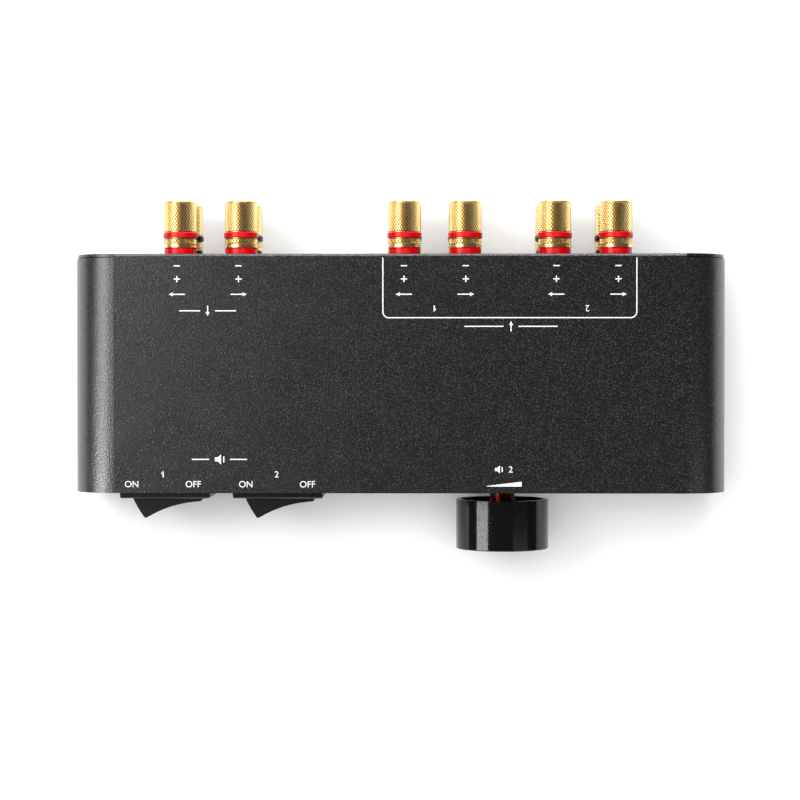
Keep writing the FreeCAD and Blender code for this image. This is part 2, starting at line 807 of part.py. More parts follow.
def volume_wafer(y):
    """One gang's insulating wafer, with a tongue that fills the can's slot."""
    disc = rod(V(volume_x, y, mid_z), Y_AXIS, can_radius - can_wall - wafer_gap, wafer_thickness)
    half = volume_tab_spacing + volume_tab_width / 2
    tongue = block(volume_x - can_radius, volume_x, y, y + wafer_thickness, mid_z - half, mid_z + half)
    wafer = fused([disc, tongue])
    return wafer.cut(rod(V(volume_x, y - past, mid_z), Y_AXIS, shaft_radius + wafer_hole_gap,
                         wafer_thickness + 2 * past))


def resistance_track(y):
    """The wound track on a wafer's front face, open towards the terminals."""
    start = y - track_thickness
    track = rod(V(volume_x, start, mid_z), Y_AXIS, track_outer_radius, track_thickness)
    low = start - past
    depth = track_thickness + 2 * past
    inner = rod(V(volume_x, low, mid_z), Y_AXIS, track_inner_radius, depth)
    reach = can_radius * 2
    spread = reach * math.tan(math.radians(track_opening / 2))
    wedge = face_of([V(volume_x, low, mid_z), V(volume_x - reach, low, mid_z - spread),
                     V(volume_x - reach, low, mid_z + spread)])
    return track.cut(inner).cut(wedge.extrude(V(0, depth, 0)))


def volume_wiper(y):
    """A wiper: its hub on the shaft and an arm that reaches over the track."""
    hub_start = y - track_thickness - wiper_gap - wiper_thickness
    hub = rod(V(volume_x, hub_start, mid_z), Y_AXIS, wiper_hub_radius, wiper_thickness)
    half = wiper_width / 2
    reach = (track_outer_radius + track_inner_radius) / 2
    arm = block(volume_x - half, volume_x + half, hub_start, hub_start + wiper_thickness,
                mid_z, mid_z + reach)
    wiper = fused([hub, arm])
    return wiper.cut(rod(V(volume_x, hub_start - past, mid_z), Y_AXIS, shaft_radius,
                         wiper_thickness + 2 * past))


def volume_terminals():
    """Three flat terminals for each gang, riveted to the wafer's tongue."""
    tabs = []
    half = volume_tab_width / 2
    for y in gang_faces():
        for z in (-volume_tab_spacing, 0, volume_tab_spacing):
            start = volume_x - can_radius - volume_tab_reach
            tabs.append(block(start, volume_x - can_radius,
                              y + wafer_thickness / 2 - volume_tab_thickness / 2,
                              y + wafer_thickness / 2 + volume_tab_thickness / 2,
                              mid_z + z - half, mid_z + z + half))
    return tabs


def volume_shaft():
    """The control's shaft, from inside the knob to the rear of the can."""
    start = front_y - knob_gap - knob_dish - knob_bore_depth
    end = bracket_y + bracket_sheet + can_length - can_wall - wafer_gap
    return rod(V(volume_x, start, mid_z), Y_AXIS, shaft_radius, end - start)


def knob_front():
    """The knob's front face in Y."""
    return front_y - knob_gap - knob_length


def volume_knob():
    """A turned knob with a dished rear face, a blind bore and a pointer line in front."""
    rear = front_y - knob_gap
    dish = rear - knob_dish
    front = knob_front()
    edge = knob_edge
    rim = knob_radius - knob_rim
    bore_end = dish - knob_bore_depth
    outline = [
        (0, front), (knob_radius - edge, front), (knob_radius, front + edge), (knob_radius, rear - edge / 2),
        (knob_radius - edge / 2, rear), (rim, rear), (rim - knob_dish / 2, dish), (shaft_radius, dish),
        (shaft_radius, bore_end), (0, bore_end),
    ]
    knob = turned(outline, volume_x, mid_z)
    half = pointer_width / 2
    pointer = block(volume_x - half, volume_x + half, front - past, front + pointer_depth,
                    mid_z + knob_radius - pointer_length - edge, mid_z + knob_radius - 2 * edge)
    hole = rod(V(volume_x, rear - set_screw_back, mid_z), V(0, 0, -1), set_screw_radius,
               knob_radius + past)
    return knob.cut(pointer).cut(hole)


def knob_set_screw():
    """The hexagon-socket screw that grips the shaft."""
    y = front_y - knob_gap - set_screw_back
    top = mid_z - shaft_radius
    screw = rod(V(volume_x, y, top), V(0, 0, -1), set_screw_radius, set_screw_length)
    low = top - set_screw_length - past
    angles = [math.radians(60 * i) for i in range(6)]
    points = [V(volume_x + set_screw_socket * math.cos(a), y + set_screw_socket * math.sin(a), low)
              for a in angles]
    return screw.cut(face_of(points).extrude(V(0, 0, set_screw_socket_depth + past)))


def wire(points):
    """A round wire along straight runs joined by tangent arcs."""
    edges = []
    last = points[0]
    for before, corner, after in zip(points, points[1:], points[2:]):
        run_in = corner - before
        run_out = after - corner
        reach = wire_bend_share * min(run_in.Length, run_out.Length)
        start = corner - run_in.normalize() * reach
        end = corner + run_out.normalize() * reach
        edges.append(Part.LineSegment(last, start).toShape())
        edges.append(tangent_arc(start, corner, end))
        last = end
    edges.append(Part.LineSegment(last, points[-1]).toShape())
    return tube(edges, wire_radius)


def terminal_tip(x, z):
    """Where a wire meets the end of a switch terminal."""
    return V(x, front_y + housing_depth + terminal_length, mid_z + z)


def volume_tip(gang, z):
    """Where a wire meets the end of a volume terminal."""
    y = gang_faces()[gang] + wafer_thickness / 2
    return V(volume_x - can_radius - volume_tab_reach, y, mid_z + z)


def jumper(z, direction):
    """A wire from one switch's common terminal to the other's."""
    edge = mid_z + z + direction * terminal_width / 2
    y = front_y + housing_depth + terminal_length - jumper_setback
    far = edge + direction * jumper_rise
    first, second = switch_centres
    return wire([V(first, y, edge), V(first, y, far), V(second, y, far), V(second, y, edge)])


def offset(point, dx, dy, dz):
    """A point of a wire's route, some wire steps away from another point."""
    return point + V(dx, dy, dz) * wire_step


def red_wires():
    """The positive wires: inputs to the switches, then to the outputs, one pair by the volume control."""
    post = dict(post_columns())
    tip = {name: lug_tip(x, upper_row_z) for name, x in post.items()}
    first, second = switch_centres
    high, low = pole_spacing / 2, -pole_spacing / 2
    on = contact_offset
    wires = []
    a, b = tip["in_right"], terminal_tip(first, high)
    wires.append(wire([a, offset(a, 0, -12, 0), offset(b, 0, 16, 0), b]))
    a, b = tip["in_left"], terminal_tip(first, low)
    wires.append(wire([a, offset(a, 0, -10, 0), offset(b, 16, 20, 2), offset(b, 0, 11, 0), b]))
    wires.append(jumper(high, 1))
    wires.append(jumper(low, -1))
    a, b = terminal_tip(first + on, high), tip["pair1_right"]
    wires.append(wire([a, offset(a, 0, 8, 0), offset(a, 16, 13, 1), offset(b, -10, -18, 0),
                       offset(b, 0, -9, 0), b]))
    a, b = terminal_tip(first + on, low), tip["pair1_left"]
    wires.append(wire([a, offset(a, 0, 7, 0), offset(a, 14, 9, -1), offset(b, -14, -24, -9),
                       offset(b, 0, -12, 0), b]))
    a, b = terminal_tip(second + on, high), volume_tip(1, volume_tab_spacing)
    wires.append(wire([a, offset(a, 0, 8, 0), offset(b, -20, 2, 0), offset(b, -9, 0, 0), b]))
    a, b = terminal_tip(second + on, low), volume_tip(0, -volume_tab_spacing)
    wires.append(wire([a, offset(a, 0, 8, 0), offset(b, -22, 2, 2), offset(b, -9, 0, 0), b]))
    a, b = volume_tip(0, 0), tip["pair2_right"]
    wires.append(wire([a, offset(a, -8, 0, 0), offset(a, -12, 12, -8), offset(a, -4, 28, -12),
                       offset(b, -12, -26, -20), offset(b, 0, -11, 0), b]))
    a, b = volume_tip(1, 0), tip["pair2_left"]
    wires.append(wire([a, offset(a, -7, 0, 0), offset(a, -8, 12, 10), offset(a, 22, 20, 14),
                       offset(b, 0, -14, 0), b]))
    return wires


def black_wires():
    """The negative wires, from each input post to the matching posts of both outputs."""
    post = dict(post_columns())
    tip = {name: lug_tip(x, lower_row_z) for name, x in post.items()}
    wires = []
    for side, back in (("right", -12), ("left", -17)):
        a, b = tip["in_" + side], tip["pair1_" + side]
        sink = -3 if side == "right" else 1
        wires.append(wire([a, offset(a, 0, -7, 0), offset(a, 8, back, sink), offset(b, -8, back, sink),
                           offset(b, 0, -7, 0), b]))
    for side, back, sink in (("right", -8, -5), ("left", -12, 6)):
        a, b = tip["pair1_" + side], tip["pair2_" + side]
        edge = offset(a, lug_thickness / 2, 3, 0)
        wires.append(wire([edge, offset(edge, 5, 0, 0), offset(edge, 9, back, sink),
                           offset(b, -5, back, sink), offset(b, 0, -7, 0), b]))
    return wires


def node_shapes():
    """Every node's name with its solids."""
    nodes = {
        "cover_shell": [cover_shell()],
        "chassis": [chassis()],
        "rubber_feet": [rubber_foot(x, y) for x, y in foot_pattern()],
        "case_screws": case_screws(),
        "post_studs": [post_stud(x, z) for x, z in all_posts()],
        "red_collars": [post_collar(x, z) for x, z in post_places(upper_row_z)],
        "black_collars": [post_collar(x, z) for x, z in post_places(lower_row_z)],
        "post_insulators": [post_insulator(x, z) for x, z in all_posts()],
        "solder_lugs": [solder_lug(x, z) for x, z in all_posts()],
        "post_nuts": [post_nut(x, z) for x, z in all_posts()],
    }
    for colour, row_z in (("red", upper_row_z), ("black", lower_row_z)):
        for name, x in post_columns():
            nodes["cap_" + name + "_" + colour] = [post_cap(x, row_z)]
            nodes["ring_" + name + "_" + colour] = [post_ring(x, row_z)]
    poles = (-pole_spacing / 2, pole_spacing / 2)
    for number, x in enumerate(switch_centres, 1):
        switch = "switch_" + str(number)
        nodes[switch + "_housing"] = [switch_housing(x)]
        nodes[switch + "_rocker"] = [rocker(x)]
        nodes[switch + "_plungers"] = [plunger(x, z) for z in poles]
        nodes[switch + "_springs"] = [plunger_spring(x, z) for z in poles]
        nodes[switch + "_blades"] = [contact_blade(x, z) for z in poles]
    nodes["switch_common_terminals"] = [common_terminal(x, z) for x in switch_centres for z in poles]
    nodes["switch_on_terminals"] = [switched_terminal(x, z) for x in switch_centres for z in poles]
    nodes["volume_bushing"] = [volume_bushing()]
    nodes["volume_nut"] = [volume_nut()]
    nodes["volume_lock_washer"] = [volume_lock_washer()]
    nodes["control_bracket"] = [control_bracket()]
    nodes["volume_can"] = [volume_can()]
    nodes["volume_wafers"] = [volume_wafer(y) for y in gang_faces()]
    nodes["resistance_tracks"] = [resistance_track(y) for y in gang_faces()]
    nodes["volume_terminals"] = volume_terminals()
    nodes["volume_shaft"] = [volume_shaft()]
    nodes["volume_wipers"] = [volume_wiper(y) for y in gang_faces()]
    nodes["volume_knob"] = [volume_knob()]
    nodes["knob_set_screw"] = [knob_set_screw()]
    nodes["red_wires"] = red_wires()
    nodes["black_wires"] = black_wires()
    return nodes


def export(name, solids):
    """Write one node's solids to its file, after a look at each."""
    for solid in solids:
        if len(solid.Solids) != 1 or not solid.isValid():
            print(name, "has", len(solid.Solids), "solids in one piece, valid:", solid.isValid())
    pieces = [solid.Solids[0] for solid in solids]
    shape = pieces[0] if len(pieces) == 1 else Part.makeCompound(pieces)
    shape.exportStep("parts/" + name + ".step")


os.makedirs("parts", exist_ok=True)
for node_name, node_solids in node_shapes().items():
    export(node_name, node_solids)
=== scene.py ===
"""The looks of a speaker selector switch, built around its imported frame: knurled gold screw caps, white
marks on a speckled black case, gloss knob and rockers, and a studio table with its lights and camera."""
import contextlib
import json
import math
import random

import bmesh
import bpy
from mathutils import Matrix, Vector


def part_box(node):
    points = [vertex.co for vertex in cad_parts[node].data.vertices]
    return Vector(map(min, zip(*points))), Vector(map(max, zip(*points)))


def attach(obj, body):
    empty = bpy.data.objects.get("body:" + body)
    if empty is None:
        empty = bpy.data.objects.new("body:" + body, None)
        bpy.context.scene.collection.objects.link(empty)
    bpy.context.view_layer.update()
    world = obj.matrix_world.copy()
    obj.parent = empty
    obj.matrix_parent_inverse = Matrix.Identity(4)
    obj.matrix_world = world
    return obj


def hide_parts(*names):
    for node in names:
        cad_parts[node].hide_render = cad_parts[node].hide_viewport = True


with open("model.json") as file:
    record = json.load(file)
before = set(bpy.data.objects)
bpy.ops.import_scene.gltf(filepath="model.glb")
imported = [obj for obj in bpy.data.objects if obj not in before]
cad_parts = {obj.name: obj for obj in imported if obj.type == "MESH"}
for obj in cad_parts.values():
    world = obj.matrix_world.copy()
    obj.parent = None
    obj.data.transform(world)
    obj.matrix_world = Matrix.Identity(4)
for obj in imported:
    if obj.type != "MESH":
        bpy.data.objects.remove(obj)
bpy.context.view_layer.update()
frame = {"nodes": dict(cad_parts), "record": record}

MM = 0.001

# Screw caps: lengths in metres
knurl_columns = 34
knurl_depth = 0.25 * MM
knurl_flank = 0.18 * MM
knurl_row = 1.3 * MM
cap_bore = 3.05 * MM
plug_hole = 2.6 * MM
end_wall = 1.8 * MM
ring_groove = 4.6 * MM
ring_gap = 0.05 * MM
dome_height = 0.8 * MM
dome_rim = 4.3 * MM
dome_steps = 5
cap_edge = 0.15 * MM
land = 0.2 * MM
cap_turn_seed = 12
smooth_angle = 28
# the attribute that marks where painted shade darkens the knurl grooves
groove_shade_attribute = "painted_groove_shade"

# Marks on the top: lengths in metres, the angle in degrees, the rest as shares
mark_rise = 0.02 * MM
mark_depth = 0.1 * MM
line_width = 0.36 * MM
character_height = 2.05 * MM
capital_share = 0.68
numeral_flag = 0.36
numeral_stem_shift = 0.1
numeral_flag_angle = 40
sign_span = 2.1 * MM
sign_width = 0.38 * MM
arrow_barb = 1.3 * MM
arrow_tip = 0.05
side_arrow = 5.4 * MM
heading_size = 3.4 * MM
input_span = 19 * MM
output_span = 31 * MM
arrow_room = 5 * MM
speakers_span = 18.5 * MM
speakers_room = 7 * MM
volume_sign_shift = 1.8 * MM
volume_numeral_shift = 2.2 * MM
volume_sign_scale = 0.8
wedge_size = (11.7 * MM, 1.6 * MM)
bracket_margins = (7.2 * MM, 6.3 * MM)
bracket_corner = 2.2 * MM
bracket_segments = 8  # to round one corner

# Rows of marks, in metres from the rear edge of the top towards the front
minus_row = 4.1 * MM
plus_row = 8.5 * MM
side_row = 13.6 * MM
pair_row = 18.3 * MM
input_row = 19.1 * MM
bracket_end = 1.2 * MM
bracket_front = 21.6 * MM
output_row = 24.3 * MM

# Rows of marks, in metres from the front edge of the top towards the rear
state_row = 3.0 * MM
switch_row = 6.3 * MM
volume_row = 3.1 * MM
volume_heading_row = 8.0 * MM
speakers_row = 11.3 * MM
state_spread = 10.3 * MM

# Camera: places in metres, the lens in millimetres
camera_place = (0.0119, 0.0036, 0.744)
camera_target = (0.0002, -0.0081, 0.044)
camera_lens = 94.5


@contextlib.contextmanager
def editing(piece):
    """Edit mode on one piece, with nothing else selected."""
    bpy.ops.object.select_all(action="DESELECT")
    bpy.context.view_layer.objects.active = piece
    piece.select_set(True)
    bpy.ops.object.mode_set(mode="EDIT")
    yield
    bpy.ops.object.mode_set(mode="OBJECT")


def pick(piece, kind, wanted):
    """In edit mode, select only the vertices, edges or faces that pass a test."""
    bpy.ops.mesh.select_mode(type=kind)
    bpy.ops.mesh.select_all(action="DESELECT")
    mesh = bmesh.from_edit_mesh(piece.data)
    items = {"VERT": mesh.verts, "EDGE": mesh.edges, "FACE": mesh.faces}[kind]
    for item in items:
        if wanted(item):
            item.select_set(True)
    mesh.select_flush_mode()
    bmesh.update_edit_mesh(piece.data)


def settle(piece):
    """Put a piece's place, turn and size into its mesh."""
    bpy.ops.object.select_all(action="DESELECT")
    bpy.context.view_layer.objects.active = piece
    piece.select_set(True)
    bpy.ops.object.transform_apply(location=True, rotation=True, scale=True)
    return piece


def added(operator, name, **settings):
    """A new primitive, alone in the selection, under its own name."""
    bpy.ops.object.select_all(action="DESELECT")
    operator(**settings)
    piece = bpy.context.object
    piece.name = name
    piece.data.name = name
    return settle(piece)


def joined(pieces, name):
    """Several pieces as one object."""
    bpy.ops.object.select_all(action="DESELECT")
    for piece in pieces:
        piece.select_set(True)
    bpy.context.view_layer.objects.active = pieces[0]
    bpy.ops.object.join()
    pieces[0].name = name
    pieces[0].data.name = name
    return pieces[0]


def doubled(piece, name, turn):
    """A copy with its own mesh, turned by three angles."""
    copy = piece.copy()
    copy.data = piece.data.copy()
    copy.name = name
    copy.data.name = name
    bpy.context.scene.collection.objects.link(copy)
    copy.rotation_euler = turn
    return settle(copy)


def smooth(piece, degrees):
    """Shade round where faces meet in less than an angle."""
    bpy.ops.object.select_all(action="DESELECT")
    bpy.context.view_layer.objects.active = piece
    piece.select_set(True)
    bpy.ops.object.shade_smooth_by_angle(angle=math.radians(degrees))


def fixed(piece, body, finish):
    """Give a piece its finish and the body that it moves with."""
    piece.data.materials.clear()
    piece.data.materials.append(finish)
    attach(piece, body)


class Signal:
    """A number that varies over a surface: arithmetic on it adds Math nodes."""

    def __init__(self, finish, socket):
        self.finish = finish
        self.socket = socket

    def maths(self, operation, *terms):
        node = self.finish.add("Math", {"operation": operation}, dict(enumerate(terms)))
        return Signal(self.finish, node.outputs[0])

    def __add__(self, other):
        return self.maths("ADD", self, other)

    __radd__ = __add__

    def __sub__(self, other):
        return self.maths("SUBTRACT", self, other)

    def __rsub__(self, other):
        return self.maths("SUBTRACT", other, self)

    def __mul__(self, other):
        return self.maths("MULTIPLY", self, other)

    __rmul__ = __mul__

    def clamped(self):
        return self.maths("MAXIMUM", self.maths("MINIMUM", self, 1.0), 0.0)


class Finish:
    """One procedural finish: a surface shader and the nodes that feed it."""

    def __init__(self, name, **constants):
        self.material = bpy.data.materials.new(name)
        self.material.use_nodes = True
        self.tree = self.material.node_tree
        self.surface = self.tree.nodes["Principled BSDF"]
        self.set(**constants)

    def add(self, kind, settings=None, sockets=None):
        node = self.tree.nodes.new("ShaderNode" + kind)
        for name, value in (settings or {}).items():
            setattr(node, name, value)
        for name, value in (sockets or {}).items():
            self.feed(node.inputs[name], value)
        return node

    def feed(self, socket, value):
        if isinstance(value, Signal):
            value = value.socket
        if isinstance(value, bpy.types.NodeSocket):
            self.tree.links.new(value, socket)
        elif socket.type == "RGBA" and len(value) == 3:
            socket.default_value = (*value, 1.0)
        else:
            socket.default_value = value

    def set(self, **values):
        for name, value in values.items():
            self.feed(self.surface.inputs[name.replace("_", " ")], value)

    def place(self, stretch):
        """Object coordinates, stretched along each axis."""
        coordinates = self.add("TexCoord").outputs["Object"]
        return self.add("Mapping", None, {"Vector": coordinates, "Scale": stretch}).outputs["Vector"]

    def noise(self, grain, detail=2.0, stretch=(1, 1, 1)):
        """Soft noise from 0 to 1, with grains of a size in metres."""
        node = self.add("TexNoise", None, {"Vector": self.place(stretch), "Scale": 1 / grain,
                                           "Detail": detail})
        return Signal(self, node.outputs["Fac"])

    def blend(self, factor, first, second):
        """A colour between two others."""
        node = self.add("Mix", {"data_type": "RGBA"}, {0: factor, 6: first, 7: second})
        return node.outputs[2]

    def raise_surface(self, height, distance):
        """Relief from a height signal, with its depth in metres."""
        node = self.add("Bump", None, {"Height": height, "Distance": distance, "Strength": 1.0})
        self.feed(self.surface.inputs["Normal"], node.outputs["Normal"])


def powder_coat():
    """Fine-textured satin black powder coat: close grains, and a few paler specks painted into the colour
    as glints of the grain.
    """
    coat = Finish("powder_coat", IOR=1.75)
    grain = coat.noise(0.5 * MM, 0.5)
    fine = coat.noise(0.35 * MM, 0.0)
    # painted glints: pale specks in the colour stand in for the glints of the coat's grain
    painted_glint_specks = ((fine - 0.60) * 7.0).clamped()
    colour = coat.blend(painted_glint_specks, (0.0035, 0.0035, 0.0037), (0.04, 0.04, 0.041))
    cloud = coat.noise(14 * MM, 2.0)
    coat.set(Base_Color=colour, Roughness=0.21 + 0.12 * grain + 0.06 * cloud)
    coat.raise_surface(grain, 0.09 * MM)
    return coat.material


def gold_plate():
    """Polished gold plate, with faint wear and a trace of turning, and painted shade: darker in the grooves
    of a knurl.
    """
    gold = Finish("gold_plate", Metallic=1.0)
    painted_groove_shade = Signal(gold, gold.add("Attribute", {"attribute_name": groove_shade_attribute}).outputs["Fac"])
    wear = gold.noise(1.6 * MM, 3.0)
    plating = gold.blend(wear, (1.0, 0.82, 0.42), (1.0, 0.72, 0.28))
    # painted shade: the marked knurl grooves turn a dark brown in place of the gold
    gold.set(Base_Color=gold.blend(painted_groove_shade, plating, (0.20, 0.08, 0.015)), Roughness=0.24 + 0.12 * wear)
    gold.raise_surface(gold.noise(0.5 * MM, 2.0, (1, 6, 1)), 0.006 * MM)
    return gold.material


def gloss_plastic(name, colour, deep):
    """Gloss moulded plastic with a slight flow of its colour."""
    plastic = Finish(name, Coat_Weight=0.06, Coat_Roughness=0.08, IOR=1.33)
    flow = plastic.noise(3.0 * MM, 2.0)
    plastic.set(Base_Color=plastic.blend(flow, colour, deep), Roughness=0.20 + 0.10 * flow)
    plastic.raise_surface(plastic.noise(0.8 * MM, 2.0), 0.004 * MM)
    return plastic.material


def switch_plastic():
    """Semi-gloss moulded black, with the fine grain of a spark-eroded mould."""
    plastic = Finish("switch_plastic", IOR=1.45)
    grain = plastic.noise(0.22 * MM, 2.0)
    flow = plastic.noise(5 * MM, 2.0)
    plastic.set(Base_Color=plastic.blend(flow, (0.004, 0.004, 0.0043), (0.007, 0.007, 0.0073)),
                Roughness=0.26 + 0.10 * grain)
    plastic.raise_surface(grain, 0.008 * MM)
    return plastic.material


def rubber():
    """Matt moulded rubber."""
    foot = Finish("rubber", IOR=1.5)
    grain = foot.noise(0.35 * MM, 3.0)
    foot.set(Base_Color=foot.blend(grain, (0.018, 0.018, 0.018), (0.035, 0.034, 0.033)),
             Roughness=0.72 + 0.15 * grain)
    foot.raise_surface(grain, 0.03 * MM)
    return foot.material


def plated_metal(name, colour, shade, low, high, grain=0.6):
    """Plated or rolled metal: two tones and a roughness that wanders between two limits."""
    metal = Finish(name, Metallic=1.0)
    cloud = metal.noise(grain * 4 * MM, 3.0)
    fine = metal.noise(grain * MM, 2.0, (1, 5, 1))
    metal.set(Base_Color=metal.blend(cloud, colour, shade), Roughness=low + (high - low) * fine)
    metal.raise_surface(fine, 0.004 * MM)
    return metal.material


def moulded(name, colour, shade, roughness):
    """Plain moulded plastic or pressed board."""
    plastic = Finish(name, IOR=1.5)
    cloud = plastic.noise(1.5 * MM, 3.0)
    plastic.set(Base_Color=plastic.blend(cloud, colour, shade), Roughness=roughness + 0.1 * cloud)
    plastic.raise_surface(plastic.noise(0.3 * MM, 2.0), 0.006 * MM)
    return plastic.material


def knob_black():
    """Gloss black anodised aluminium with fine turning lines round the knob's axis."""
    knob = Finish("knob_black", IOR=1.38)
    lines = knob.noise(1.4 * MM, 2.0, (0.2, 14, 0.2))
    sparkle = knob.noise(0.6 * MM, 1.0)
    mottle = ((sparkle - 0.5) * 5.0).clamped()
    knob.set(Base_Color=knob.blend(sparkle, (0.002, 0.002, 0.0022), (0.005, 0.005, 0.0053)),
             Roughness=0.07 + 0.16 * mottle)
    knob.raise_surface(lines * 0.5 + sparkle * 0.5, 0.005 * MM)
    return knob.material


def white_ink():
    """Screen-printed white."""
    ink = Finish("white_ink", IOR=1.5)
    grain = ink.noise(0.3 * MM, 2.0)
    ink.set(Base_Color=ink.blend(grain, (0.70, 0.70, 0.70), (0.60, 0.60, 0.61)),
            Roughness=0.5 + 0.15 * grain)
    return ink.material


def table_white():
    """The pale matt table."""
    table = Finish("table_white", IOR=1.4)
    cloud = table.noise(0.2, 2.0)
    table.set(Base_Color=table.blend(cloud, (0.83, 0.83, 0.835), (0.81, 0.81, 0.815)),
              Roughness=0.85 + 0.05 * cloud)
    return table.material


def finishes():
    """Every finish by its material slot in the record."""
    return {
        "powder_coat": powder_coat(),
        "zinc_steel": plated_metal("zinc_steel", (0.62, 0.62, 0.61), (0.50, 0.51, 0.52), 0.25, 0.42),
        "rubber": rubber(),
        "gold_plate": gold_plate(),
        "red_plastic": gloss_plastic("red_plastic", (0.52, 0.0, 0.002), (0.42, 0.0, 0.006)),
        "black_plastic": gloss_plastic("black_plastic", (0.006, 0.006, 0.006), (0.010, 0.010, 0.010)),
        "switch_plastic": switch_plastic(),
        "nylon": moulded("nylon", (0.72, 0.70, 0.62), (0.66, 0.63, 0.55), 0.45),
        "tinned_brass": plated_metal("tinned_brass", (0.72, 0.70, 0.62), (0.60, 0.57, 0.48), 0.25, 0.45),
        "nickel_brass": plated_metal("nickel_brass", (0.68, 0.64, 0.54), (0.58, 0.54, 0.44), 0.18, 0.32),
        "spring_steel": plated_metal("spring_steel", (0.48, 0.48, 0.48), (0.38, 0.38, 0.39), 0.28, 0.4),
        "contact_copper": plated_metal("contact_copper", (0.74, 0.40, 0.24), (0.62, 0.32, 0.18), 0.2, 0.38),
        # the bushing's dark copper-red is partly its brass and partly painted shade, for the shade between
        # the knob and the panel
        "bushing_brass": plated_metal("bushing_brass", (0.42, 0.15, 0.06), (0.26, 0.09, 0.035),
                                      0.22, 0.36, 0.3),
        "knob_black": knob_black(),
        "steel_black": plated_metal("steel_black", (0.09, 0.09, 0.095), (0.06, 0.06, 0.06), 0.35, 0.5),
        "phenolic": moulded("phenolic", (0.20, 0.095, 0.04), (0.27, 0.14, 0.07), 0.5),
        "resistance_wire": plated_metal("resistance_wire", (0.36, 0.34, 0.30), (0.28, 0.26, 0.23),
                                        0.3, 0.5),
        "aluminium_shaft": plated_metal("aluminium_shaft", (0.78, 0.78, 0.79), (0.68, 0.68, 0.70),
                                        0.2, 0.35),
        "red_insulation": moulded("red_insulation", (0.52, 0.010, 0.010), (0.42, 0.008, 0.008), 0.38),
        "black_insulation": moulded("black_insulation", (0.018, 0.018, 0.018), (0.028, 0.028, 0.028), 0.38),
    }


def knurled_sleeve(name, radius, start, end):
    """Raised diamonds round the Z axis: a grid is poked, its own lines are dissolved, and each diamond
    that is left is inset and raised."""
    length = end - start
    rows = max(1, round(length / knurl_row))
    sleeve = added(bpy.ops.mesh.primitive_cylinder_add, name, vertices=knurl_columns,
                   radius=radius - knurl_depth, depth=length, end_fill_type="NOTHING",
                   location=(0, 0, start + length / 2))
    level = 0.0001 * MM

    def is_upright(edge):
        return abs(edge.verts[0].co.z - edge.verts[1].co.z) > length / 2

    def is_grid_line(edge):
        a, b = (vertex.co for vertex in edge.verts)
        flat = abs(a.z - b.z) < level
        upright = (a.xy - b.xy).length < level
        return (flat and len(edge.link_faces) == 2) or upright

    with editing(sleeve):
        if rows > 1:
            pick(sleeve, "EDGE", is_upright)
            bpy.ops.mesh.subdivide(number_cuts=rows - 1)
        bpy.ops.mesh.select_all(action="SELECT")
        bpy.ops.mesh.poke()
        pick(sleeve, "EDGE", is_grid_line)
        bpy.ops.mesh.dissolve_edges(use_verts=False)
        bpy.ops.mesh.select_mode(type="FACE")
        bpy.ops.mesh.select_all(action="SELECT")
        bpy.ops.mesh.inset(thickness=knurl_flank, depth=knurl_depth, use_individual=True)
    return sleeve


def mark_grooves(piece, radius, spans):
    """Mark the bottoms of the grooves for the finish's painted shade, between the ends of each knurled
    span.
    """
    painted_groove_shade = piece.data.attributes.new(groove_shade_attribute, "FLOAT", "POINT")
    for vertex in piece.data.vertices:
        deep = ring_groove < vertex.co.xy.length < radius - knurl_depth / 2
        if deep and any(start <= vertex.co.z <= end for start, end in spans):
            painted_groove_shade.data[vertex.index].value = 1.0


def turn_on(piece, ring, steps):
    """Continue a turned shape from its open ring, at (radius, z), through further (radius, z) steps."""
    radius, z = ring
    near = 0.01 * MM

    def on_ring(edge):
        middle = (edge.verts[0].co + edge.verts[1].co) / 2
        return len(edge.link_faces) == 1 and abs(middle.z - z) < near

    pick(piece, "EDGE", on_ring)
    for next_radius, next_z in steps:
        bpy.ops.mesh.extrude_edges_move(TRANSFORM_OT_translate={"value": (0, 0, next_z - z)})
        ratio = next_radius / radius
        bpy.ops.transform.resize(value=(ratio, ratio, 1), center_override=(0, 0, next_z))
        radius, z = next_radius, next_z


def screw_cap():
    """A screw cap along the Z axis, from its base at 0: knurled band, groove for the coloured ring, knurled
    grip, and a domed end with a plug hole."""
    low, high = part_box("cap_in_right_red")
    ring_low, ring_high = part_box("ring_in_right_red")
    radius = (high.x - low.x) / 2
    floor = radius - knurl_depth
    length = high.y - low.y
    band_end = ring_low.y - low.y - ring_gap
    grip_start = ring_high.y - low.y + ring_gap
    dome_start = length - dome_height
    knurl_start = grip_start + land
    knurl_end = dome_start - land
    band = knurled_sleeve("band", radius, land, band_end - land)
    grip = knurled_sleeve("grip", radius, knurl_start, knurl_end)
    cap = joined([band, grip], "screw_cap")
    dome = []
    for step in range(dome_steps + 1):
        angle = math.radians(90 * step / dome_steps)
        dome.append((dome_rim + (floor - dome_rim) * math.cos(angle),
                     dome_start + dome_height * math.sin(angle)))
    with editing(cap):
        turn_on(cap, (floor, band_end - land),
                [(floor, band_end), (ring_groove, band_end), (ring_groove, grip_start),
                 (floor, grip_start), (floor, knurl_start)])
        turn_on(cap, (floor, knurl_end),
                dome + [(plug_hole + cap_edge, length), (plug_hole, length - cap_edge),
                        (plug_hole, length - end_wall), (cap_bore, length - end_wall), (cap_bore, 0),
                        (floor - cap_edge, 0), (floor, cap_edge), (floor, land)])
        bpy.ops.mesh.select_all(action="SELECT")
        bpy.ops.mesh.remove_doubles(threshold=0.002 * MM)
        bpy.ops.mesh.normals_make_consistent(inside=False)
    mark_grooves(cap, radius, [(land, band_end - land), (knurl_start, knurl_end)])
    smooth(cap, smooth_angle)
    return cap


